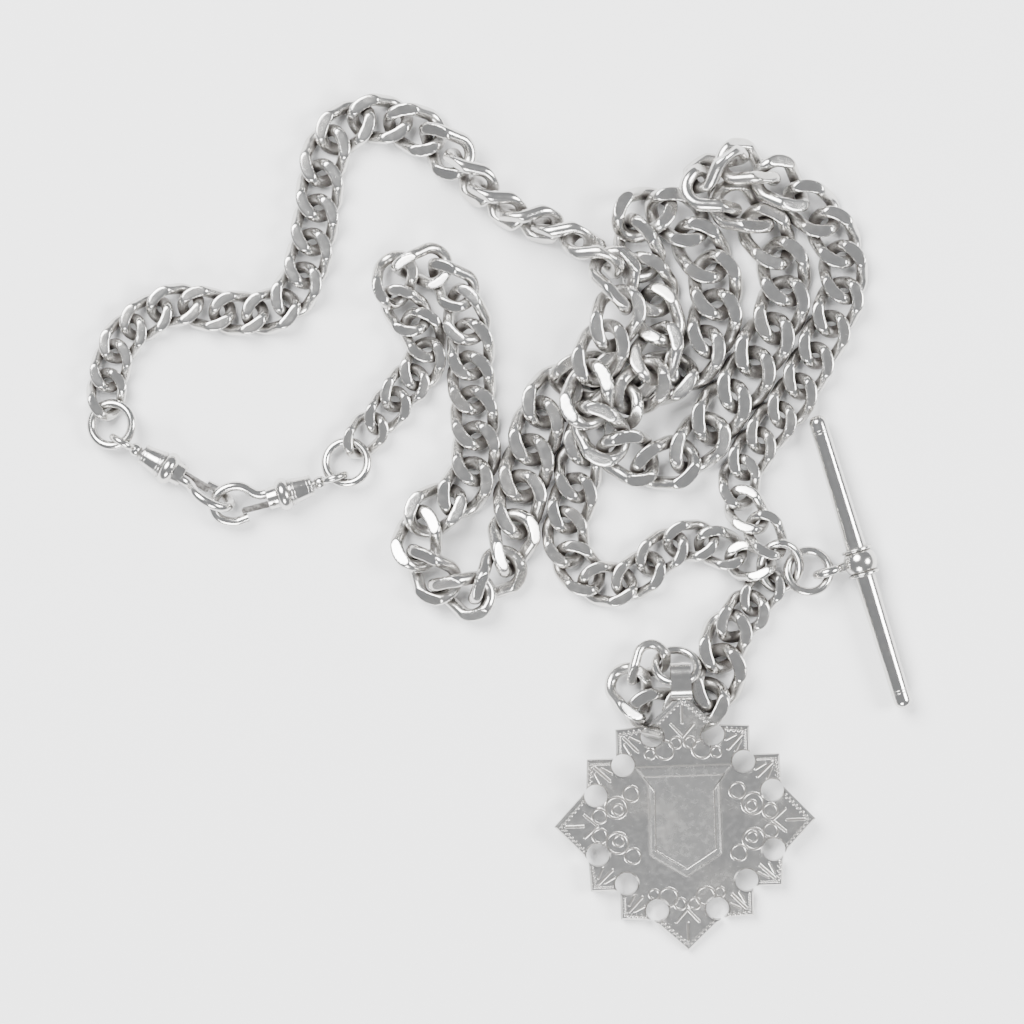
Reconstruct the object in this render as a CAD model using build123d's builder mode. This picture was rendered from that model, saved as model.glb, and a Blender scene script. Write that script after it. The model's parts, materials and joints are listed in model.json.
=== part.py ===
from build123d import *
import math
import os

import numpy as np

# A silver double Albert watch chain lying coiled on a table: two graduated curb chains that end in
# swivel dog clips hooked into each other, a junction ring, a T-bar, and a short drop chain with a
# twelve-pointed star fob medal. Millimetres, Z up, origin on the table under the middle of the coil.

os.makedirs("parts", exist_ok=True)

# ---- driving dimensions ----
gauge = 1.95  # wire of the heaviest curb links; the whole coil is laid out in proportion to it
light_share = 0.74  # wire of the lightest curb links against the heaviest
link_long = 5.25  # outside length of a curb link, in its own wire diameters
link_wide = 3.9  # outside width, in wire diameters
link_twist = -50  # angle of a link's end wires to its flat plane
link_pitch = 2.84  # spacing along the chain, in wire diameters
link_flat = 0.88  # half thickness left after both faces are filed, in wire diameters
touch = 0.05  # clear space kept between any two links, in heaviest wire diameters

medal_reach = 18.2  # centre of the medal to a long point
medal_thick = 1.2  # star plate
shield_thick = 0.7  # applied shield
bar_wide = 3.05  # T-bar rod at the collar
collar_wide = 4.7  # ball collar of the T-bar
clip_wire = 1.35  # wire of the dog clip hooks
knop_wide = 4.7  # round knop of the dog clips
gate_thick = 0.9  # flat gate of the dog clips

# ---- fits ----
run_fit = 0.05  # a pin turning in its hole, radial
slip = 0.12  # a lever or leaf beside its cheeks, each side
seat = 0.02  # a part pushed into its place

unit = gauge / 1.95  # scale of the coil
coil_middle = 0.91  # how far along the routes the middle of the whole lies, before scaling


def coil_point(across, along, level=0.0):
    """A place on the table in the coil, with its height in heaviest wire diameters."""
    return np.array([across * unit, (along - coil_middle) * unit, level * gauge])


# ---- how the chains lie: places each run passes, as across, along, level, roll ----
arm_a_way = [
    (-55.0, 18.9, 0.9, 0), (-52.5, 26.5, 0.9, 0), (-45.5, 31.2, 0.9, 0), (-37.5, 30.2, 0.9, 0),
    (-31.0, 30.8, 0.9, 0), (-27.4, 35.0, 0.9, 0), (-25.4, 43.7, 0.9, 0), (-24.3, 51.7, 0.9, 0),
    (-21.8, 55.8, 0.9, 0), (-17.7, 57.3, 0.9, 0), (-13.1, 56.4, 0.9, 10), (-9.0, 54.4, 1.0, 30),
]
slope_a_way = [
    (-5.8, 51.3, 1.3, 60), (-2.3, 47.5, 1.6, 75), (1.9, 44.1, 1.6, 75), (6.5, 42.3, 1.6, 75),
    (11.0, 40.0, 2.1, 90), (15.1, 37.4, 2.8, 120),
]
fold_a_way = [
    (17.3, 32.8, 3.1, 150), (16.6, 28.1, 3.2, 170), (14.2, 23.7, 3.2, 180), (13.1, 18.8, 3.0, 185),
    (14.6, 13.9, 2.9, 200), (18.4, 9.9, 2.0, 200), (23.3, 9.0, 1.2, 190), (27.5, 12.0, 0.9, 180),
]
inner_a_way = [
    (32.3, 18.3, 0.9, 180), (37.9, 26.9, 0.9, 180), (40.0, 31.4, 0.9, 180), (39.8, 36.3, 0.9, 180),
    (38.0, 41.2, 0.9, 190),
]
turn_a_way = [
    (34.5, 44.7, 1.1, 210), (29.9, 45.5, 1.3, 240), (28.2, 48.6, 1.8, 270), (31.7, 51.0, 2.2, 300),
    (36.9, 49.2, 2.0, 330), (42.2, 45.4, 1.2, 355),
]
outer_a_way = [
    (46.7, 41.2, 0.9, 360), (48.0, 37.0, 0.9, 360), (48.1, 33.0, 0.9, 360), (44.9, 26.2, 0.9, 360),
    (40.5, 18.2, 0.9, 360), (35.2, 10.8, 0.9, 360), (33.6, 6.6, 0.9, 360), (34.4, 2.6, 1.3, 360), (37.0, -1.0, 1.8, 360),
]
arm_b_way = [
    (-18.5, 13.8, 0.9, 0), (-15.6, 16.4, 0.9, 10), (-13.6, 19.8, 0.9, 20), (-11.0, 22.2, 0.9, 10),
    (-9.6, 25.6, 0.9, 0),
]
knot_b_way = [
    (-11.2, 29.1, 0.9, 0), (-14.4, 32.2, 1.0, 0), (-13.4, 35.8, 1.5, 20), (-9.2, 36.2, 1.9, 30),
    (-5.8, 32.6, 1.7, 10), (-4.3, 27.2, 1.6, 0),
]
fall_b_way = [(-3.9, 22.0, 1.1, 0), (-3.2, 13.6, 0.9, 0), (-3.3, 9.0, 0.9, 0)]
loop_b_way = [
    (-5.5, 4.6, 0.9, 0), (-9.6, 2.0, 0.9, 10), (-11.7, -1.5, 0.9, 20), (-9.2, -5.5, 1.0, 50),
    (-5.1, -8.8, 1.0, 70), (-0.6, -7.1, 0.9, 60),
]
rise_b_way = [(1.8, -2.4, 0.9, 20), (2.6, 2.7, 0.9, 0), (5.1, 11.6, 0.9, 0), (6.9, 16.9, 0.9, 0)]
nest_b_way = [
    (10.0, 20.9, 0.9, 0), (15.2, 20.9, 0.9, 0), (20.5, 20.2, 0.9, 0), (25.7, 22.0, 0.9, 0),
    (29.3, 26.5, 0.9, 0), (30.3, 31.4, 0.9, 0), (29.9, 36.5, 0.9, 0), (27.1, 41.2, 1.0, 10),
    (22.9, 44.9, 1.1, 20), (19.1, 43.0, 1.0, 10), (19.4, 38.4, 0.9, 0), (21.2, 33.9, 0.9, 0),
]
return_b_way = [
    (22.3, 29.3, 1.3, 0), (21.9, 25.1, 2.4, 0), (19.1, 20.2, 2.2, 0), (14.2, 16.4, 1.0, 0),
    (12.1, 11.8, 0.9, 0),
]
tail_b_way = [
    (11.3, 6.9, 0.9, 0), (9.7, 2.4, 0.9, 0), (9.6, -2.2, 0.9, 0), (12.1, -6.4, 0.9, 0),
    (16.0, -7.7, 0.9, 0), (19.7, -6.3, 0.9, 0), (22.9, -3.2, 0.9, 0), (26.7, -1.6, 0.9, 0),
    (30.7, -2.4, 1.0, 0), (34.9, -4.2, 1.2, 0),
]
upper_drop_way = [
    (37.1, -9.2, 0.9, -20), (34.4, -11.9, 0.9, -20), (31.4, -14.9, 0.9, 0), (30.1, -19.0, 0.9, 0),
]
lower_drop_way = [
    (29.6, -22.9, 0.9, 0), (26.8, -25.8, 0.9, 0), (22.8, -26.4, 0.9, 0), (19.6, -24.8, 0.9, 10),
    (18.4, -21.4, 1.1, 20), (20.2, -18.3, 1.5, 40),
]


# ---- one curb link ----
def link_corners(wire):
    """The four corners a twisted link's centre line turns at."""
    half = (link_long - 1) / 2 * wire
    side = (link_wide - 1) / 2 * wire
    lift = side * math.tan(math.radians(link_twist))
    return [(half, -side, -lift), (half, side, lift), (-half, side, -lift), (-half, -side, lift)]


def corner_radius(corners):
    """The largest bend that fits every corner of the link."""
    first, second, third = (np.array(p) for p in corners[:3])
    back, on = first - second, third - second
    turn = math.acos(back @ on / np.linalg.norm(back) / np.linalg.norm(on))
    return min(np.linalg.norm(back), np.linalg.norm(on)) / 2 * math.tan(turn / 2) * 0.98


corners = link_corners(1.0)
link_end = (link_long - 1) / 2

with BuildPart() as half_link:
    with BuildLine() as half_path:
        FilletPolyline(
            (link_end, 0, 0), corners[1], corners[2], (-link_end, 0, 0), radius=corner_radius(corners)
        )
    with BuildSketch(Plane(half_path.line @ 0, z_dir=half_path.line % 0)):
        Circle(0.5)
    sweep()

with BuildPart() as whole_link:
    add(half_link.part)
    add(half_link.part, rotation=(180, 0, 0))
    Box(link_long * 2, link_wide * 2, link_flat * 2, mode=Mode.INTERSECT)

samples = 40
out_points = [tuple(half_path.line @ (2 * i / samples)) for i in range(samples // 2)]
back_points = [tuple(half_path.line @ (1 - 2 * i / samples)) for i in range(samples // 2)]
link_points = np.array(out_points + [(x, -y, -z) for x, y, z in back_points])


def ring_points(along, across):
    """Points round the centre line of an oval ring lying in its own flat plane."""
    turns = [2 * math.pi * i / samples for i in range(samples)]
    return np.array([(along * math.cos(t), across * math.sin(t), 0) for t in turns])


# ---- laying the chains ----
def turned(forward, roll):
    """Axes as columns: X along the chain, Z the upward side turned by the roll."""
    ahead = forward / np.linalg.norm(forward)
    up = np.array([0, 0, 1.0]) - ahead[2] * ahead
    up = up / np.linalg.norm(up)
    side = np.cross(up, ahead)
    c, s = math.cos(math.radians(roll)), math.sin(math.radians(roll))
    return np.column_stack([ahead, c * side + s * up, c * up - s * side])


def smooth_way(places, steps=30):
    """A smooth path through the places, as rows of x, y, z, roll."""
    rows = np.vstack([2 * places[0] - places[1], places, 2 * places[-1] - places[-2]])
    path = []
    for before, start, end, after in zip(rows, rows[1:], rows[2:], rows[3:]):
        for t in (k / steps for k in range(steps)):
            bend = (2 * before - 5 * start + 4 * end - after) * t * t
            path.append(0.5 * (2 * start + (end - before) * t + bend + (3 * start - before - 3 * end + after) * t**3))
    return np.array(path + [places[-1]])


def lay_chain(ways, heaviest_at):
    """Links along named ways, each of the gauge its place in the graduation gives it."""
    rows = [(*coil_point(x, y, z), roll) for way in ways.values() for x, y, z, roll in way]
    owner = [name for name, way in ways.items() for _ in way]
    path = smooth_way(np.array(rows))
    run = np.concatenate([[0], np.cumsum(np.linalg.norm(np.diff(path[:, :3], axis=0), axis=1))])

    def wire_at(share):
        shape = share / heaviest_at / 2 if share < heaviest_at else 1 - (1 - share) / (1 - heaviest_at) / 2
        return gauge * (light_share + (1 - light_share) * max(0.0, math.sin(math.pi * shape)) ** 0.8)

    def marks(stretch):
        places = [0.0]
        while places[-1] < run[-1] * 1.05:
            places.append(places[-1] + link_pitch * stretch * wire_at(min(1, places[-1] / run[-1])))
        return places

    def miss(stretch):
        places = marks(stretch)
        return min(abs(p - run[-1]) for p in places) * 3 + abs(stretch - 1) * 20 * unit

    stretch = min((0.95 + 0.0025 * k for k in range(41)), key=miss)
    places = marks(stretch)
    count = min(range(len(places)), key=lambda i: abs(places[i] - run[-1])) + 1
    links = []
    for place in places[:count]:
        at = [np.interp(place, run, path[:, k]) for k in range(4)]
        ahead = [np.interp(place + 1.5 * unit, run, path[:, k]) for k in range(3)]
        behind = [np.interp(place - 1.5 * unit, run, path[:, k]) for k in range(3)]
        nearest = min(range(len(rows)), key=lambda i: math.dist(rows[i][:3], at[:3]))
        wire = wire_at(min(1, place / run[-1]))
        axes = turned(np.array(ahead) - np.array(behind), at[3])
        links.append(Loop(owner[nearest], link_points * wire, wire, np.array(at[:3]), axes, flat=link_flat * wire))
    return links


class Loop:
    """A closed loop of wire: its centre line, gauge, place and axes."""

    def __init__(self, name, points, wire, place, axes, flat=None, still=False, hold=0.02):
        self.name, self.points, self.wire = name, points, wire
        self.place, self.axes, self.flat = place, axes, flat
        self.still, self.hold = still, hold
        self.first_place, self.first_axes = place.copy(), axes.copy()
        self.reach = np.linalg.norm(points, axis=1).max() + wire / 2

    def world(self):
        return self.points @ self.axes.T + self.place

    def turn(self, spin):
        angle = np.linalg.norm(spin)
        if angle > 1e-12:
            kx, ky, kz = spin / angle
            angle = min(angle, 0.15)
            cross = np.array([[0, -kz, ky], [kz, 0, -kx], [-ky, kx, 0]])
            self.axes = (np.eye(3) + math.sin(angle) * cross + (1 - math.cos(angle)) * cross @ cross) @ self.axes


def settle(loops, rounds, space):
    """Nudges the loops until no two wires come nearer than the space, and none sinks in the table."""
    for step in range(rounds):
        if step % 15 == 0:
            near = [
                (i, j)
                for i, a in enumerate(loops)
                for j, b in enumerate(loops[:i])
                if not (a.still and b.still)
                and np.linalg.norm(a.place - b.place) < a.reach + b.reach + 0.5 * unit
            ]
        world = [loop.world() for loop in loops]
        push = np.zeros((len(loops), 3))
        spin = np.zeros((len(loops), 3))
        for i, j in near:
            gap = world[i][:, None] - world[j][None]
            apart = np.sqrt((gap**2).sum(axis=2))
            short = (loops[i].wire + loops[j].wire) / 2 + space - apart
            hit = short > 0
            if not hit.any():
                continue
            weight = short[hit]
            force = gap[hit] / apart[hit][:, None] * (weight / weight.sum() * weight.max())[:, None]
            on_i, on_j = np.nonzero(hit)
            push[i] += force.sum(axis=0)
            push[j] -= force.sum(axis=0)
            spin[i] += np.cross(world[i][on_i] - loops[i].place, force).sum(axis=0)
            spin[j] -= np.cross(world[j][on_j] - loops[j].place, force).sum(axis=0)
        fade = max(0.0, 1 - step / (rounds * 0.65))
        for k, loop in enumerate(loops):
            if loop.still:
                continue
            body = loop.points.copy()
            if loop.flat:
                limit = loop.flat - loop.wire / 2
                body[:, 2] = np.clip(body[:, 2], -limit, limit)
            body = body @ loop.axes.T
            sunk = loop.wire / 2 - (body[:, 2] + loop.place[2])
            low = sunk > 0
            if low.any():
                weight = sunk[low]
                force = np.outer(weight / weight.sum() * weight.max(), [0, 0, 1.0])
                push[k] += force.sum(axis=0)
                spin[k] += np.cross(body[low], force).sum(axis=0)
            size = (np.abs(loop.points).max(axis=0) ** 2).sum() * 0.5
            back = loop.first_axes @ loop.axes.T
            home = np.array([back[2, 1] - back[1, 2], back[0, 2] - back[2, 0], back[1, 0] - back[0, 1]]) / 2
            loop.place = loop.place + 0.35 * push[k] + loop.hold * fade * (loop.first_place - loop.place)
            loop.turn(0.35 * spin[k] / size + loop.hold * 0.6 * fade * home)


# ---- where the rings, clips, bar and medal sit ----
def frame(place, forward, up=(0, 0, 1)):
    """Axes at a place, as columns, X forward and Z as near up as it can be."""
    x = np.array(forward, float) / np.linalg.norm(forward)
    y = np.cross(up, x)
    y = y / np.linalg.norm(y)
    return np.array(place, float), np.column_stack([x, y, np.cross(x, y)])


def tipped(axes, about, angle):
    """The axes turned about one of their own columns."""
    t = math.radians(angle)
    first, second = [k for k in range(3) if k != about]
    out = axes.copy()
    out[:, first] = math.cos(t) * axes[:, first] + math.sin(t) * axes[:, second]
    out[:, second] = math.cos(t) * axes[:, second] - math.sin(t) * axes[:, first]
    return out


knop_rest = knop_wide / 2
clip_a_roll = 114  # the hooks cross, one tipped up on its side
clip_b_roll = 170
clip_a_place, clip_a_axes = frame([*coil_point(-46.0, 8.5)[:2], knop_rest], (0.87, -0.49, 0))
clip_b_place, clip_b_axes = frame([*coil_point(-29.9, 4.9)[:2], knop_rest], (-0.952, -0.305, 0))
clip_a_axes = tipped(clip_a_axes, 0, clip_a_roll)
clip_b_axes = tipped(clip_b_axes, 0, clip_b_roll)
eye_back = 7.35
eye_round = 1.6
eye_wire = 1.0
eye_a_place = clip_a_place - eye_back * clip_a_axes[:, 0]
eye_b_place = clip_b_place - eye_back * clip_b_axes[:, 0]

end_wire = 1.25 * unit
end_round = 2.95 * unit
end_a_way = np.array([-0.45, 0.89, 0.0])
end_b_way = np.array([0.5, 0.87, 0.0])
end_a_place = eye_a_place + end_round * end_a_way - np.array([0, 0, 0.3 * unit])
end_b_place = eye_b_place + end_round * end_b_way - np.array([0, 0, 0.3 * unit])
end_a_axes = frame(end_a_place, end_a_way * 1.0 + np.array([0, 0, -0.1]))[1]
end_b_axes = frame(end_b_place, end_b_way * 1.0 + np.array([0, 0, -0.1]))[1]

bar_rest = collar_wide / 2
bar_place = np.array([*coil_point(50.5, -4.55)[:2], bar_rest + 0.05])
bar_axes = np.column_stack([(0.292, -0.956, 0), (0.956, 0.292, 0), (0, 0, 1.0)])
loop_out = collar_wide / 2 + 2.35
loop_round = 1.6
loop_wire = 1.3
bar_ring_wire = 1.2 * unit
bar_ring_round = 2.95 * unit
bar_loop_place = bar_place - loop_out * bar_axes[:, 1]
bar_ring_way = np.array([-0.99, -0.14, 0.0])
bar_ring_place = bar_loop_place + bar_ring_round * bar_ring_way
bar_ring_axes = frame(bar_ring_place, bar_ring_way)[1]

hub_wire = 1.3 * unit
hub_along = 2.7 * unit
hub_across = 3.6 * unit
bar_long = 42.6 * unit
bar_end = 2.5
hub_place = coil_point(39.9, -4.9, 1.25)
hub_axes = tipped(np.eye(3), 0, 24)

medal_turn = math.radians(1.9)
medal_up = np.array([-math.sin(medal_turn), math.cos(medal_turn), 0.0])
medal_tip_rise = 2.55 * gauge
medal_rest = medal_thick / 2 + 0.05
medal_lean = math.asin((medal_tip_rise - medal_rest) / (2 * medal_reach))
medal_y = medal_up * math.cos(medal_lean) + np.array([0, 0, math.sin(medal_lean)])
medal_tip = np.array([*coil_point(25.4, -22.8)[:2], medal_tip_rise])
medal_place = medal_tip - medal_reach * medal_y
medal_x = np.cross(medal_y, (0, 0, 1.0))
medal_x = medal_x / np.linalg.norm(medal_x)
medal_axes = np.column_stack([medal_x, medal_y, np.cross(medal_x, medal_y)])
bail_out = 1.75
medal_ring_wire = 1.2 * unit
medal_ring_round = 2.95 * unit
bail_place = medal_tip + bail_out * medal_y
medal_ring_tip = math.radians(40)
medal_ring_y = np.array([0, math.cos(medal_ring_tip), -math.sin(medal_ring_tip)])
medal_ring_axes = np.column_stack([(1.0, 0, 0), medal_ring_y, np.cross((1.0, 0, 0), medal_ring_y)])
medal_ring_place = bail_place + (medal_ring_round - 0.35) * medal_ring_y

loops = lay_chain(
    {"arm_a": arm_a_way, "slope_a": slope_a_way, "fold_a": fold_a_way, "inner_a": inner_a_way,
     "turn_a": turn_a_way, "outer_a": outer_a_way}, 0.58
)
chain_a = len(loops)
loops += lay_chain(
    {"arm_b": arm_b_way, "knot_b": knot_b_way, "fall_b": fall_b_way, "loop_b": loop_b_way,
     "rise_b": rise_b_way, "nest_b": nest_b_way, "return_b": return_b_way, "tail_b": tail_b_way}, 0.55
)
chain_b = len(loops)
loops += lay_chain({"upper_drop": upper_drop_way, "lower_drop": lower_drop_way}, 0.5)
chain_d = len(loops)


def plate_face():
    """Points over the upper end of the medal, which the drop chain must clear."""
    share = medal_reach / 18.2
    rows = [9.3 + 0.98 * k for k in range(10)]
    halves = [9.3 if y < 13.6 else (18.2 - y) * 4.9 / 4.6 for y in rows]
    return np.array(
        [(half * (k / 8 - 1) * share, y * share, 0) for y, half in zip(rows, halves) for k in range(17)]
    )


def bail_band():
    """Points round the bail, at its two edges and its middle."""
    turns = [math.pi * k / 12 for k in range(24)]
    return np.array([(x, 2.25 * math.cos(t), 1.4 * math.sin(t)) for x in (-1.15, 0, 1.15) for t in turns])


still = {
    "eye_a": (ring_points(eye_round, eye_round), eye_wire, eye_a_place, tipped(clip_a_axes, 0, 90 - clip_a_roll)),
    "eye_b": (ring_points(eye_round, eye_round), eye_wire, eye_b_place, tipped(clip_b_axes, 0, 90 - clip_b_roll)),
    "bar_loop": (
        ring_points(loop_round, loop_round), loop_wire, bar_loop_place,
        np.column_stack([bar_axes[:, 1], bar_axes[:, 2], bar_axes[:, 0]]),
    ),
    "plate": (plate_face(), medal_thick + 0.1, medal_place, medal_axes),
    "bail": (bail_band(), 0.72, bail_place, medal_axes),
}
free_rings = {
    "end_ring_a": (ring_points(end_round, end_round), end_wire, end_a_place, end_a_axes),
    "end_ring_b": (ring_points(end_round, end_round), end_wire, end_b_place, end_b_axes),
    "hub_ring": (ring_points(hub_along, hub_across), hub_wire, hub_place, hub_axes),
    "bar_ring": (ring_points(bar_ring_round, bar_ring_round), bar_ring_wire, bar_ring_place, bar_ring_axes),
    "medal_ring": (
        ring_points(medal_ring_round, medal_ring_round), medal_ring_wire, medal_ring_place, medal_ring_axes
    ),
}
for name, (points, wire, place, axes) in free_rings.items():
    loops.append(Loop(name, points, wire, place, axes))
for name, (points, wire, place, axes) in still.items():
    loops.append(Loop(name, points, wire, place, axes, still=True))
settle(loops, 260, touch * gauge)

# ---- the pieces ----
def plane_of(place, axes):
    """The plane that stands at a place with these axes."""
    return Plane(origin=tuple(place), x_dir=tuple(axes[:, 0]), z_dir=tuple(axes[:, 2]))


def write(label, *bodies):
    """Writes one named piece made of one or more separate solids."""
    piece = Compound(label=label, children=list(bodies)) if len(bodies) > 1 else bodies[0]
    piece.label = label
    export_step(piece, "parts/" + label + ".step")


def placed(piece, plane):
    """A copy of a piece set from its own frame into a plane."""
    return plane.location * piece


# curb links, one piece per run of the chain
runs = {}
for loop in loops[:chain_d]:
    runs.setdefault(loop.name, []).append(loop)
for name, run in runs.items():
    links = []
    for loop in run:
        sized = scale(whole_link.part, by=loop.wire)
        links.append(placed(sized, plane_of(loop.place, loop.axes)).solid())
    write(name + "_links", *links)


# plain wire rings
def wire_ring(wire, along, across):
    """A closed ring of round wire in the XY plane, round or oval."""
    with BuildPart() as ring:
        if along == across:
            Torus(along, wire / 2)
        else:
            with BuildLine() as half:
                EllipticalCenterArc((0, 0), along, across, start_angle=0, arc_size=180)
            with BuildSketch(Plane(half.line @ 0, z_dir=half.line % 0)):
                Circle(wire / 2)
            sweep()
            mirror(about=Plane.XZ)
    return ring.part


ring_at = {loop.name: loop for loop in loops[chain_d:]}
ring_sizes = {
    "end_ring_a": (end_round, end_round), "end_ring_b": (end_round, end_round),
    "hub_ring": (hub_along, hub_across), "bar_ring": (bar_ring_round, bar_ring_round),
    "medal_ring": (medal_ring_round, medal_ring_round),
}
for name, (along, across) in ring_sizes.items():
    loop = ring_at[name]
    write(name, placed(wire_ring(loop.wire, along, across), plane_of(loop.place, loop.axes)))


# ---- swivel dog clip, made with its knop at the origin and its hook along X ----
barrel_end = -4.2
knop_start = -0.9
shank = 0.6
chamber = 1.0
pin_radius = 0.28
pin_x = 1.65
pin_y = -0.7

with BuildPart() as clip_barrel:
    with BuildSketch(Plane.XY):
        with BuildLine():
            Polyline(
                (barrel_end, shank + run_fit), (barrel_end, 1.25), (barrel_end + 0.2, 1.4),
                (knop_start - 0.3, 1.85), (knop_start, 1.85), (knop_start, chamber),
                (barrel_end + 0.8, chamber), (barrel_end + 0.8, shank + run_fit), close=True,
            )
        make_face()
    revolve(axis=Axis.X)

with BuildPart() as clip_eye:
    with BuildSketch(Plane.XY):
        with BuildLine():
            Polyline((-6.1, 0), (-6.1, shank), (barrel_end + 0.9, shank), (barrel_end + 0.9, 0.88))
            Polyline((barrel_end + 0.9, 0.88), (barrel_end + 1.5, 0.88), (barrel_end + 1.5, 0), (-6.1, 0))
        make_face()
    revolve(axis=Axis.X)
    with Locations((-5.25, 0, 0)):
        Sphere(0.95)
    with Locations((-eye_back, 0, 0)):
        Torus(eye_round, eye_wire / 2)

with BuildPart() as clip_knop:
    with BuildSketch(Plane.XY):
        with BuildLine():
            Polyline((-2.4, 0), (-2.4, chamber - seat), (knop_start, chamber - seat), (knop_start, 1.8))
            ThreePointArc((knop_start, 1.8), (0, knop_wide / 2), (0.9, 1.8))
            Polyline((0.9, 1.8), (1.0, 1.6), (2.3, 1.5), (2.4, 1.4), (2.4, 0), (-2.4, 0))
        make_face()
    revolve(axis=Axis.X)
    with Locations((1.1, 0.87, 0)):
        Cylinder(
            clip_wire / 2 + seat, 2, rotation=(0, 90, 0), align=(Align.CENTER, Align.CENTER, Align.MIN),
            mode=Mode.SUBTRACT,
        )
    with Locations((0.95, -2.2, 0)):
        Box(
            2, 2.25, gate_thick + 2 * slip, align=(Align.MIN, Align.MIN, Align.CENTER), mode=Mode.SUBTRACT
        )
    with Locations((pin_x, pin_y, 0)):
        Cylinder(pin_radius + seat, 4, mode=Mode.SUBTRACT)

with BuildPart() as clip_hook:
    with BuildLine() as hook_line:
        Line((1.12, 0.87), (2.45, 0.87))
        Spline(
            (2.45, 0.87), (5.0, 2.6), (8.3, 3.1), (9.9, 1.4), (9.3, -0.8), (7.6, -1.65), (5.7, -1.62),
            tangents=((1, 0), (-1, 0.05)),
        )
    with BuildSketch(Plane(hook_line.line @ 0, z_dir=hook_line.line % 0)):
        Circle(clip_wire / 2)
    sweep()

with BuildPart() as clip_gate:
    with BuildSketch(Plane.XY):
        with Locations((pin_x, pin_y)):
            Circle(0.55)
        with BuildLine():
            Polyline(
                (pin_x, pin_y + 0.42), (6.0, -0.1), (6.3, -0.3), (6.3, -0.82), (pin_x, pin_y - 0.42),
                close=True,
            )
        make_face()
        with Locations((pin_x, pin_y)):
            Circle(pin_radius + run_fit, mode=Mode.SUBTRACT)
    extrude(amount=gate_thick / 2, both=True)

with BuildPart() as clip_pin:
    with Locations((pin_x, pin_y, 0)):
        Cylinder(pin_radius, 2.6)

clip_pieces = {
    "barrel": clip_barrel, "knop": clip_knop, "hook": clip_hook, "gate": clip_gate, "pin": clip_pin
}
for side, place, axes in (("a", clip_a_place, clip_a_axes), ("b", clip_b_place, clip_b_axes)):
    for piece, solid in clip_pieces.items():
        write("clip_" + side + "_" + piece, placed(solid.part, plane_of(place, axes)))
    eye = ring_at["eye_" + side]
    eye_plane = Plane(origin=tuple(place), x_dir=tuple(axes[:, 0]), z_dir=tuple(eye.axes[:, 2]))
    write("clip_" + side + "_eye", placed(clip_eye.part, eye_plane))

# ---- T-bar, made with its collar at the origin and its rod along X ----
collar_half = 1.45
flange_gap = 0.08
flange_thick = 0.45
rod_half = bar_long / 2
rod_radius = bar_wide / 2 - 0.05

with BuildPart() as bar_rod:
    with BuildSketch(Plane.XY):
        with BuildLine():
            shoulder = rod_half - 1.1
            Polyline((3.0, rod_radius), (shoulder, bar_end / 2))
            ThreePointArc((shoulder, bar_end / 2), (rod_half - 0.3, bar_end * 0.36), (rod_half, bar_end / 8))
            Polyline((rod_half, bar_end / 8), (rod_half, 0), (-rod_half, 0), (-rod_half, bar_end / 8))
            ThreePointArc((-rod_half, bar_end / 8), (0.3 - rod_half, bar_end * 0.36), (-shoulder, bar_end / 2))
            Polyline((-shoulder, bar_end / 2), (-3.0, rod_radius), (3.0, rod_radius))
        make_face()
    revolve(axis=Axis.X)

with BuildPart() as bar_collar:
    Sphere(collar_wide / 2)
    Box(collar_half * 2, collar_wide, collar_wide, mode=Mode.INTERSECT)
    with Locations((0, -loop_out, 0)):
        Torus(loop_round, loop_wire / 2, rotation=(0, 90, 0))
    with Locations((0, -1.9, 0)):
        Cylinder(0.75, 1.4, rotation=(90, 0, 0), align=(Align.CENTER, Align.CENTER, Align.MIN))
    Cylinder(rod_radius + run_fit, 10, rotation=(0, 90, 0), mode=Mode.SUBTRACT)

with BuildPart() as bar_flange:
    with BuildSketch(Plane.YZ.offset(collar_half + flange_gap)):
        Circle(2.2)
        Circle(rod_radius + seat, mode=Mode.SUBTRACT)
    extrude(amount=flange_thick)
    fillet(bar_flange.edges().filter_by(GeomType.CIRCLE).group_by(SortBy.RADIUS)[-1], 0.18)

bar_plane = plane_of(bar_place, bar_axes)
write("bar_rod", placed(bar_rod.part, bar_plane))
write("bar_collar", placed(bar_collar.part, bar_plane))
write("bar_flange_lower", placed(bar_flange.part, bar_plane))
write("bar_flange_upper", placed(mirror(bar_flange.part, about=Plane.YZ), bar_plane))

# ---- star fob medal, made with its centre at the origin, its long points on X and Y ----
share = medal_reach / 18.2
notch = 1.6 * share
quarter = [(0, 18.2), (4.9, 13.6), (9.3, 13.4), (9.3, 9.3), (13.4, 9.3), (13.6, 4.9)]
notches = [(4.2, 12.3), (8.4, 8.4), (12.3, 4.2)]


def round_star(points):
    """The points of one quarter repeated round the star, clockwise."""
    spread = []
    for turn in range(4):
        c, s = math.cos(-math.pi / 2 * turn), math.sin(-math.pi / 2 * turn)
        spread += [((c * x - s * y) * share, (s * x + c * y) * share) for x, y in points]
    return spread


bail_wide = 2.8
bail_long = 5.2
bail_deep = 3.4
bail_wall = 0.6
with BuildPart() as medal_bail:
    with BuildSketch(Plane.YZ):
        with Locations((medal_reach + bail_out, 0)):
            SlotOverall(bail_long, bail_deep)
            SlotOverall(bail_long - 2 * bail_wall, bail_deep - 2 * bail_wall, mode=Mode.SUBTRACT)
    extrude(amount=bail_wide / 2, both=True)

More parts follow.
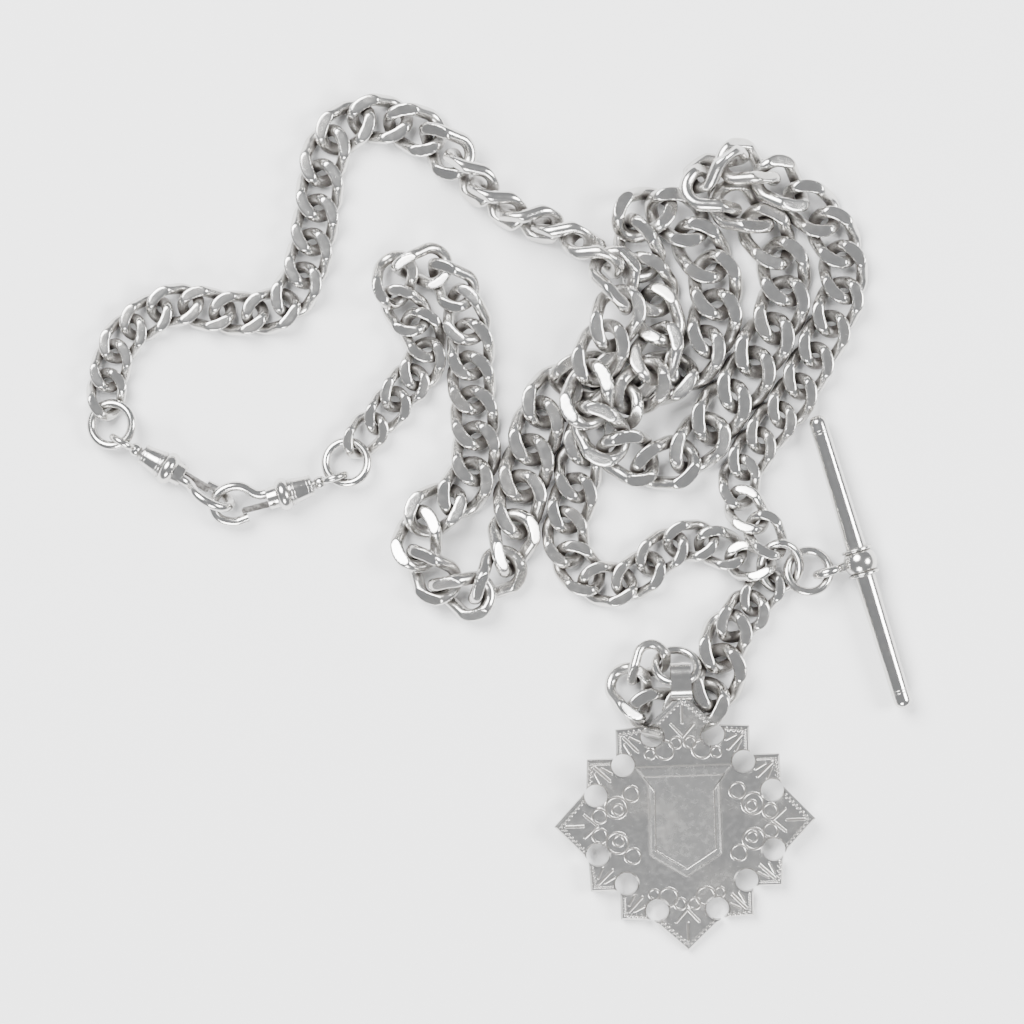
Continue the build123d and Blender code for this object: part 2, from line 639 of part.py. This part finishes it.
with BuildPart() as medal_plate:
    with BuildSketch(Plane.XY):
        with BuildLine():
            Polyline(*round_star(quarter), close=True)
        make_face()
        with Locations(*round_star(notches)):
            Circle(notch, mode=Mode.SUBTRACT)
    extrude(amount=medal_thick / 2, both=True)
    chamfer(medal_plate.faces().sort_by(Axis.Z)[-1].edges(), 0.25)
    with BuildSketch(Plane.YZ):
        with Locations((medal_reach + bail_out, 0)):
            SlotOverall(bail_long + 2 * seat, bail_deep + 2 * seat)
    extrude(amount=bail_wide / 2 + seat, both=True, mode=Mode.SUBTRACT)

shield_corners = [
    (-6.7, 8.1), (6.7, 8.1), (4.9, 5.6), (5.0, -4.4), (0, -7.6), (-5.0, -4.4), (-4.9, 5.6)
]
with BuildPart() as medal_shield:
    with BuildSketch(Plane.XY.offset(medal_thick / 2 + seat)):
        with BuildLine():
            Polyline(*[(x * share, y * share) for x, y in shield_corners], close=True)
        make_face()
    extrude(amount=shield_thick)
    chamfer(medal_shield.faces().sort_by(Axis.Z)[-1].edges(), 0.3)

medal_plane = plane_of(medal_place, medal_axes)
write("medal_plate", placed(medal_plate.part, medal_plane))
write("medal_shield", placed(medal_shield.part, medal_plane))
write("medal_bail", placed(medal_bail.part, medal_plane))
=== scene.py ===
import json
import math

import bmesh
import bpy
from mathutils import Matrix, Vector


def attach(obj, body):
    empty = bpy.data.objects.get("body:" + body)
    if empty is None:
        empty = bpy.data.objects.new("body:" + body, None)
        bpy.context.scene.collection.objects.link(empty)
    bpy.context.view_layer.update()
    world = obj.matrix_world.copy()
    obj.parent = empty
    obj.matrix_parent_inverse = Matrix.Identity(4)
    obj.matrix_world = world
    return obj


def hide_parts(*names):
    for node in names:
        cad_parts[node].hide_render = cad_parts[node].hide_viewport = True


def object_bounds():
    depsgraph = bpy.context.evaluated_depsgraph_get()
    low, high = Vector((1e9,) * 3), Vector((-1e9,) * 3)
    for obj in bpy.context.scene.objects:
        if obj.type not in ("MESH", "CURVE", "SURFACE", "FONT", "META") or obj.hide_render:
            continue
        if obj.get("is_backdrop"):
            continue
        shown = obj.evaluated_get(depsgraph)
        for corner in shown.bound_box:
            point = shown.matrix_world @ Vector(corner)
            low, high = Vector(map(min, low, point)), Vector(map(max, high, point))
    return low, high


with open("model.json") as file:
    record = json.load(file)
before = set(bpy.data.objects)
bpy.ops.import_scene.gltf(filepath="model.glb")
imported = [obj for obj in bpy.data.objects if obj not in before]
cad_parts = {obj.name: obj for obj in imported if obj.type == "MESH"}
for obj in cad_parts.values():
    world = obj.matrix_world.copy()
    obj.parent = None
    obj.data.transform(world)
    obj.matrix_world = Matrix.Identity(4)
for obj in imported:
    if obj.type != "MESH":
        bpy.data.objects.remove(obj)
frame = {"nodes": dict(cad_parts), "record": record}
cad_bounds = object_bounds()
MM = 0.001


# ---- curb links ----
# Each link is a loop of round silver wire, twisted and then filed flat on both faces.
# Wear rounded the filed edges and left fine scratches. Painted shade darkens the silver between the links,
# mixed with patches of tarnish.
SILVER = (0.64, 0.63, 0.61)
# The dark colour below is painted shade in recesses and between the links, and tarnish in engraved cuts.
DARK_TARNISH_AND_SHADE = (0.060, 0.050, 0.042)
FILM = (0.44, 0.41, 0.37)
SCRATCH_TURNS = (0.5, 1.9, 2.7)
WEAR_STEP = 0.15
WEAR_ROUNDS = 7
BODY_OF = {node: body for body, nodes in frame["record"]["behaviour"]["bodies"].items() for node in nodes}


class Value:
    """A socket of a shader, on which sums are written as Python expressions."""

    def __init__(self, shade, socket):
        self.shade = shade
        self.socket = socket

    def math(self, operation, *terms):
        return self.shade.node("ShaderNodeMath", {"operation": operation}, dict(enumerate(terms)))

    def __add__(self, other):
        return self.math("ADD", self, other)

    def __sub__(self, other):
        return self.math("SUBTRACT", self, other)

    def __rsub__(self, other):
        return self.math("SUBTRACT", other, self)

    def __mul__(self, other):
        return self.math("MULTIPLY", self, other)

    def __pow__(self, other):
        return self.math("POWER", self, other)

    def __abs__(self):
        return self.math("ABSOLUTE", self)

    __radd__ = __add__
    __rmul__ = __mul__

    def held(self, low=0.0, high=1.0):
        """This value kept between two limits."""
        return self.math("MINIMUM", self.math("MAXIMUM", self, low), high)

    def step(self, start, end):
        """A smooth change from 0 at start to 1 at end."""
        settings = {"interpolation_type": "SMOOTHSTEP"}
        return self.shade.node("ShaderNodeMapRange", settings, {0: self, 1: start, 2: end, 3: 0.0, 4: 1.0})


class Shade:
    """A material whose nodes are made by one method and joined by Python expressions."""

    def __init__(self, name):
        self.material = bpy.data.materials.new(name)
        self.material.use_nodes = True
        self.tree = self.material.node_tree
        self.surface = self.tree.nodes["Principled BSDF"]

    def node(self, kind, settings=None, inputs=None, output=0):
        """Makes a node, sets it, fills or links its inputs, and returns one of its outputs."""
        made = self.tree.nodes.new(kind)
        for key, value in (settings or {}).items():
            setattr(made, key, value)
        for key, value in (inputs or {}).items():
            self.put(made.inputs[key], value)
        return Value(self, made.outputs[output])

    def put(self, socket, value):
        """Links a value to a socket, or sets the socket to a number or colour."""
        if isinstance(value, Value):
            self.tree.links.new(value.socket, socket)
        else:
            socket.default_value = (*value, 1.0) if socket.type == "RGBA" else value

    def place(self):
        """Where a point of the object is, in millimetres."""
        at = self.node("ShaderNodeTexCoord", output="Object")
        return self.node("ShaderNodeVectorMath", {"operation": "SCALE"}, {0: at, "Scale": 1 / MM})

    def noise(self, at, scale, detail=4.0, stretch=None):
        """Cloudy noise from 0 to 1, drawn out along an axis where stretch says."""
        if stretch:
            at = self.node("ShaderNodeVectorMath", {"operation": "MULTIPLY"}, {0: at, 1: stretch})
        return self.node("ShaderNodeTexNoise", {}, {"Vector": at, "Scale": scale, "Detail": detail})

    def blend(self, amount, first, second):
        """One colour turning into another as the amount goes from 0 to 1."""
        return self.node("ShaderNodeMix", {"data_type": "RGBA"}, {0: amount, 6: first, 7: second}, 2)

    def finish(self, colour, rough, metal, height, depth):
        """Feeds the surface: colour, roughness, metal share and relief of a depth in millimetres."""
        bump = self.node("ShaderNodeBump", {}, {"Height": height, "Strength": 0.5, "Distance": depth * MM})
        feeds = {"Base Color": colour, "Roughness": rough, "Metallic": metal, "Normal": bump}
        for name, value in feeds.items():
            self.put(self.surface.inputs[name], value)
        return self.material


def scratches(shade, at, directions):
    """Hairlines that run in a few directions, 1 in a scratch and 0 between them."""
    marks = None
    for turn in directions:
        turned = shade.node("ShaderNodeVectorRotate", {"rotation_type": "Z_AXIS"}, {0: at, "Angle": turn})
        lines = shade.noise(turned, 1.0, 3.0, (0.35, 9.0, 9.0)).step(0.68, 0.76)
        marks = lines if marks is None else marks.math("MAXIMUM", marks, lines)
    return marks


def silver(name, tone=SILVER, rough=0.17, tarnish_and_shade=1.0, recess=2.4, cuts=None):
    """Worn sterling silver: polished where it rubs, finely scratched, with patches of tarnish film; painted
    shade darkens its recesses and the gaps between parts, mixed with tarnish spots.
    """
    shade = Shade(name)
    at = shade.place()
    clouds = shade.noise(at, 0.16, 5.0)
    spots = shade.noise(at, 1.3, 6.0)
    # Painted shade: occlusion from the AO node darkens recesses and the gaps between parts, mixed with
    # tarnish spots.
    hollow = 1 - shade.node("ShaderNodeAmbientOcclusion", {"samples": 8}, {"Distance": recess * MM}, "AO")
    painted_shade_and_tarnish = ((hollow * 2.3 - 0.72 + spots * 0.30) * tarnish_and_shade).held()
    film = clouds.step(0.45, 0.72) * 0.34 * tarnish_and_shade
    marks = scratches(shade, at, SCRATCH_TURNS)
    height = shade.noise(at, 0.7, 1.0) * 0.35 - marks * 0.05 + shade.noise(at, 9.0, 3.0) * 0.015
    colour = shade.blend(film, tone, FILM)
    # The dark colour laid here is painted shade in the recesses, with tarnish spots mixed in.
    colour = shade.blend(painted_shade_and_tarnish, colour, DARK_TARNISH_AND_SHADE)
    roughness = rough + spots.step(0.4, 0.75) * 0.05 + marks * 0.06 + film * 0.20 + painted_shade_and_tarnish * 0.34
    if cuts is not None:
        groove = cuts(shade)
        height = height - groove * 2.4
        colour = shade.blend(groove * 0.72, colour, DARK_TARNISH_AND_SHADE)
        roughness = roughness + groove * 0.2
    return shade.finish(colour, roughness.held(0.05, 0.9), 1 - painted_shade_and_tarnish * 0.45, height, 0.05)


def polished(node, material, slot, crease=34):
    """A CAD node's own shape, its seams merged and its curved faces smoothed, in a material."""
    shape = bmesh.new()
    shape.from_mesh(frame["nodes"][node].data)
    bmesh.ops.remove_doubles(shape, verts=shape.verts, dist=0.002 * MM)
    for face in shape.faces:
        face.smooth = True
    for edge in shape.edges:
        edge.smooth = not edge.is_manifold or edge.calc_face_angle(0) < math.radians(crease)
    return piece(node + "_silver", shape, material, BODY_OF[node], slot, node)


def piece(name, shape, material, body, slot, *nodes):
    """Makes a finished piece of a bmesh, on its body, in place of the CAD nodes named."""
    mesh = bpy.data.meshes.new(name)
    shape.to_mesh(mesh)
    shape.free()
    mesh.materials.append(material)
    made = bpy.data.objects.new(name, mesh)
    bpy.context.scene.collection.objects.link(made)
    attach(made, body)
    if nodes:
        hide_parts(*nodes)
    return made


def rubbed(mesh):
    """A copy of one closed shape with its edges worn round, as years in a pocket leave them."""
    blank = bpy.data.objects.new("blank", mesh)
    bpy.context.scene.collection.objects.link(blank)
    skin = blank.modifiers.new("skin", "REMESH")
    skin.mode = "VOXEL"
    skin.voxel_size = WEAR_STEP * MM
    wear = blank.modifiers.new("wear", "SMOOTH")
    wear.factor = 0.5
    wear.iterations = WEAR_ROUNDS
    worn = bpy.data.meshes.new_from_object(blank.evaluated_get(bpy.context.evaluated_depsgraph_get()))
    bpy.data.objects.remove(blank)
    return worn


def loose_parts(shape):
    """The separate closed shapes in a bmesh, each as a list of faces."""
    waiting = set(shape.faces)
    while waiting:
        reached = [waiting.pop()]
        part = []
        while reached:
            face = reached.pop()
            part.append(face)
            near = {other for edge in face.edges for other in edge.link_faces} & waiting
            waiting -= near
            reached += near
        yield part


def worn_links(node, material):
    """A run of links, each worn by itself so that no two grow together."""
    shape = bmesh.new()
    shape.from_mesh(frame["nodes"][node].data)
    bmesh.ops.remove_doubles(shape, verts=shape.verts, dist=0.002 * MM)
    run = bmesh.new()
    for part in list(loose_parts(shape)):
        alone = bmesh.new()
        corners = {corner for face in part for corner in face.verts}
        copies = {corner: alone.verts.new(corner.co) for corner in corners}
        for face in part:
            alone.faces.new([copies[corner] for corner in face.verts])
        mesh = bpy.data.meshes.new("link")
        alone.to_mesh(mesh)
        alone.free()
        run.from_mesh(rubbed(mesh))
    shape.free()
    for face in run.faces:
        face.smooth = True
    return piece(node + "_silver", run, material, BODY_OF[node], "link_silver", node)


link_silver = silver("link_silver_worn")
for node in sorted(frame["nodes"]):
    if node.endswith("_links"):
        worn_links(node, link_silver)


# ---- jump rings ----
# Plain rings of drawn wire join the chain to its clips, its bar and its medal.
# They are closed all round; handling keeps them a little smoother and less tarnished than the links, and less
# painted shade is laid in their recesses.
# A lower amount here means less tarnish film and less painted shade than on the links.
ring_silver = silver("ring_silver_worn", rough=0.13, tarnish_and_shade=0.8)
for node in ("end_ring_a", "end_ring_b", "hub_ring", "bar_ring", "medal_ring"):
    polished(node, ring_silver, "link_silver")


# ---- swivel dog clips ----
# A tapered barrel turns on the eye's shank; the hook is soldered into the knop at its other end.
# Turned beads ring both ends of the barrel. The gate is oxidised steel, hung on a rivet.
CLIPS = {
    "clip_a": ((-46.0, 7.59, 2.35), (0.8713, -0.4907, 0.0), 114),
    "clip_b": ((-29.9, 3.99, 2.35), (-0.9523, -0.3051, 0.0), 170),
}
BARREL_END = -4.2
BARREL_NECK = 1.40
BARREL_MOUTH = 1.85
BARREL_BEADS = (
    (BARREL_END + 0.25, BARREL_NECK - 0.02, 0.17),
    (BARREL_END + 0.72, BARREL_NECK + 0.03, 0.12),
    (-1.55, BARREL_MOUTH - 0.10, 0.12),
    (-1.16, BARREL_MOUTH - 0.03, 0.15),
)
clip_silver = silver("clip_silver_worn", rough=0.14, tarnish_and_shade=0.95)


def oxidised_steel(name):
    """Dark spring steel, rubbed to grey on its raised parts."""
    shade = Shade(name)
    at = shade.place()
    spots = shade.noise(at, 1.8, 6.0)
    marks = scratches(shade, at, (0.2, 1.3))
    colour = shade.blend(spots.step(0.35, 0.7), (0.10, 0.095, 0.09), (0.25, 0.24, 0.23))
    colour = shade.blend(marks * 0.6, colour, (0.45, 0.44, 0.42))
    return shade.finish(colour, 0.36 + spots * 0.2, 0.9 - spots * 0.1, spots - marks * 0.5, 0.04)


def set_in(place, forward, roll):
    """The matrix that sets a shape made in millimetres along X into its place, in metres."""
    x = Vector(forward).normalized()
    y = Vector((0, 0, 1)).cross(x)
    axes = Matrix((x, y, x.cross(y))).transposed().to_4x4()
    turned = axes @ Matrix.Rotation(math.radians(roll), 4, "X")
    return Matrix.Translation(Vector(place) * MM) @ turned @ Matrix.Scale(MM, 4)


def hoop(shape, along, radius, wire, sides=64, rounds=12):
    """Adds a closed ring of round wire about the X axis."""
    first = bmesh.ops.create_circle(shape, segments=rounds, radius=wire)["verts"]
    bmesh.ops.translate(shape, verts=first, vec=(along, radius, 0))
    edges = list({edge for vert in first for edge in vert.link_edges})
    bmesh.ops.spin(
        shape, geom=edges, axis=(1, 0, 0), cent=(along, 0, 0), angle=2 * math.pi, steps=sides,
        use_merge=True,
    )


def smooth_out(shape, matrix):
    """Merges a turned shape, points its faces outwards, smooths it and sets it in place."""
    bmesh.ops.remove_doubles(shape, verts=shape.verts, dist=0.001)
    bmesh.ops.recalc_face_normals(shape, faces=shape.faces)
    for face in shape.faces:
        face.smooth = True
    bmesh.ops.transform(shape, matrix=matrix, verts=shape.verts)


gate_steel = oxidised_steel("gate_steel_dark")
for clip, (clip_place, clip_forward, clip_roll) in CLIPS.items():
    for part in ("barrel", "eye", "hook", "knop"):
        polished(clip + "_" + part, clip_silver, "link_silver", 26)
    for part in ("gate", "pin"):
        polished(clip + "_" + part, gate_steel, "gate_steel", 26)
    beads = bmesh.new()
    for along, radius, wire in BARREL_BEADS:
        hoop(beads, along, radius, wire)
    smooth_out(beads, set_in(clip_place, clip_forward, clip_roll))
    piece(clip + "_beads", beads, clip_silver, clip, "link_silver")


# ---- T-bar ----
# A tapered rod with rounded ends turns in a ball collar, kept by a thin flange on each side.
# The collar's loop hangs it from the bar ring. Two fine beads are turned near each end.
BAR = ((50.5, -5.46, 2.4), (0.292, -0.956, 0.0))
ROD_BEADS = ((19.1, 1.27, 0.07), (18.7, 1.275, 0.07))
bar_silver = silver("bar_silver_worn", rough=0.13, tarnish_and_shade=0.8)
for node in ("bar_rod", "bar_collar", "bar_flange_lower", "bar_flange_upper"):
    polished(node, bar_silver, "bar_silver", 30)
rod_rings = bmesh.new()
for side in (-1, 1):
    for along, radius, wire in ROD_BEADS:
        hoop(rod_rings, side * along, radius, wire)
smooth_out(rod_rings, set_in(*BAR, 0))
piece("bar_end_beads", rod_rings, bar_silver, "bar_rod", "bar_silver")


# ---- star fob medal ----
# A pierced twelve-point star sawn from plate, engraved by hand with bright cuts and scrolls.
# A plain shield is applied in its middle, and a broad bail holds it on its ring.
MEDAL = (25.9992, -41.7713, 2.8112)
MEDAL_LEAN = 6.82
MEDAL_TURN = 1.9
SHIELD = [(-6.7, 8.1), (6.7, 8.1), (4.9, 5.6), (5.0, -4.4), (0, -7.6), (-5.0, -4.4), (-4.9, 5.6)]


def medal_axes(shade):
    """A point's place across and up the medal's face, in millimetres, from its middle."""
    at = shade.place()
    turn = (math.radians(MEDAL_LEAN), 0, math.radians(MEDAL_TURN))
    settings = {"vector_type": "TEXTURE"}
    local = shade.node("ShaderNodeMapping", settings, {"Vector": at, "Location": MEDAL, "Rotation": turn})
    x = shade.node("ShaderNodeSeparateXYZ", {}, {0: local}, "X")
    y = shade.node("ShaderNodeSeparateXYZ", {}, {0: local}, "Y")
    return x, y


def stroke(x, y, start, end, width, teeth=0.0):
    """A straight cut from start to end, 1 in the cut, toothed like a rocked graver's where asked."""
    run = Vector(end) - Vector(start)
    along = ((x - start[0]) * run.x + (y - start[1]) * run.y) * (1 / run.length_squared)
    along = along.held()
    off_x = x - start[0] - along * run.x
    off_y = y - start[1] - along * run.y
    if teeth:
        wave = along.math("SINE", along * (teeth * run.length)) * (width * 0.8)
        off_y = off_y + wave
    away = (off_x * off_x + off_y * off_y) ** 0.5
    return 1 - away.step(width * 0.35, width)


def curl(x, y, middle, radius, width):
    """A round cut about a point, 1 in the cut."""
    away = ((x - middle[0]) ** 2.0 + (y - middle[1]) ** 2.0) ** 0.5
    return 1 - abs(away - radius).step(width * 0.35, width)


def star_cuts(shade):
    """The engraving: toothed borders on every point, leaves, and scrolls beside the shield."""
    x, y = medal_axes(shade)
    wide, tall = abs(x), abs(y)
    far, near = wide.math("MAXIMUM", wide, tall), wide.math("MINIMUM", wide, tall)
    cuts = [
        stroke(near, far, (0, 17.3), (3.9, 13.7), 0.20, 9.0),
        stroke(near, far, (0, 14.2), (0, 16.6), 0.26),
        stroke(near, far, (0, 12.2), (1.6, 14.0), 0.22),
        stroke(near, far, (8.7, 12.8), (5.9, 13.1), 0.20, 9.0),
        stroke(near, far, (8.7, 12.8), (8.7, 10.2), 0.20, 9.0),
        stroke(near, far, (8.2, 12.3), (6.3, 10.3), 0.26),
        stroke(near, far, (7.4, 12.3), (6.0, 11.6), 0.18),
        stroke(near, far, (8.1, 11.4), (7.3, 10.0), 0.18),
        curl(wide, tall, (9.5, 2.5), 1.5, 0.20),
        curl(wide, tall, (9.3, 2.2), 0.75, 0.18),
        curl(wide, tall, (7.4, 4.4), 1.1, 0.18),
        curl(wide, tall, (11.9, 1.4), 1.0, 0.18),
        curl(wide, tall, (2.6, 10.4), 1.3, 0.20),
        curl(wide, tall, (1.0, 11.4), 0.8, 0.18),
        curl(wide, tall, (4.6, 9.9), 0.7, 0.16),
    ]
    worked = cuts[0]
    for cut in cuts[1:]:
        worked = worked.math("MAXIMUM", worked, cut)
    return worked


def shield_cuts(shade):
    """The border line cut inside the applied shield's bevel."""
    x, y = medal_axes(shade)
    inner = [(px * 0.84, py * 0.84 + 0.05) for px, py in SHIELD]
    worked = None
    for start, end in zip(inner, inner[1:] + inner[:1]):
        cut = stroke(x, y, start, end, 0.13)
        worked = cut if worked is None else worked.math("MAXIMUM", worked, cut)
    return worked


polished("medal_plate", silver("medal_silver_cut", rough=0.20, cuts=star_cuts), "medal_silver", 20)
polished("medal_shield", silver("shield_silver_scratched", rough=0.24, cuts=shield_cuts), "shield_silver", 20)
bail_silver = silver("bail_silver_worn", rough=0.16)
polished("medal_bail", bail_silver, "medal_silver", 26)


# ---- table, light and camera ----
# A pale table under a broad soft lamp, seen from straight above.
VIEW_WIDE = 143.4
VIEW_HEIGHT = 600
shade = Shade("table_pale")
shade.surface.inputs["Base Color"].default_value = (0.93, 0.93, 0.93, 1)
shade.surface.inputs["Roughness"].default_value = 0.85
ground = bmesh.new()
bmesh.ops.create_grid(ground, size=2.0)
table_mesh = bpy.data.meshes.new("table")
ground.to_mesh(table_mesh)
ground.free()
table_mesh.materials.append(shade.material)
table = bpy.data.objects.new("table", table_mesh)
bpy.context.scene.collection.objects.link(table)
table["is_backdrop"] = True

LAMPS = {
    "key": ((-0.30, 0.32, 0.55), 0.50, 14.0),
    "fill": ((0.50, 0.05, 0.42), 0.30, 6.0),
    "front": ((-0.05, -0.50, 0.40), 0.30, 5.0),
}
for name, (spot, size, power) in LAMPS.items():
    light = bpy.data.lights.new(name, "AREA")
    light.shape = "DISK"
    light.size = size
    light.energy = power
    lamp = bpy.data.objects.new(name, light)
    lamp.location = spot
    lamp.rotation_euler = (-Vector(spot)).to_track_quat("-Z", "Y").to_euler()
    bpy.context.scene.collection.objects.link(lamp)

world = bpy.data.worlds.new("room")
world.use_nodes = True
world.node_tree.nodes["Background"].inputs["Color"].default_value = (0.80, 0.82, 0.85, 1)
world.node_tree.nodes["Background"].inputs["Strength"].default_value = 0.50
bpy.context.scene.world = world

eye = bpy.data.cameras.new("above")
eye.sensor_width = 36
eye.lens = eye.sensor_width * VIEW_HEIGHT / VIEW_WIDE
camera = bpy.data.objects.new("above", eye)
camera.location = (1.9 * MM, 1.5 * MM, VIEW_HEIGHT * MM)
bpy.context.scene.collection.objects.link(camera)
bpy.context.scene.camera = camera

bounds = {"cad": cad_bounds, "shown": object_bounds()}
{key: [list(corner) for corner in pair] for key, pair in bounds.items()}
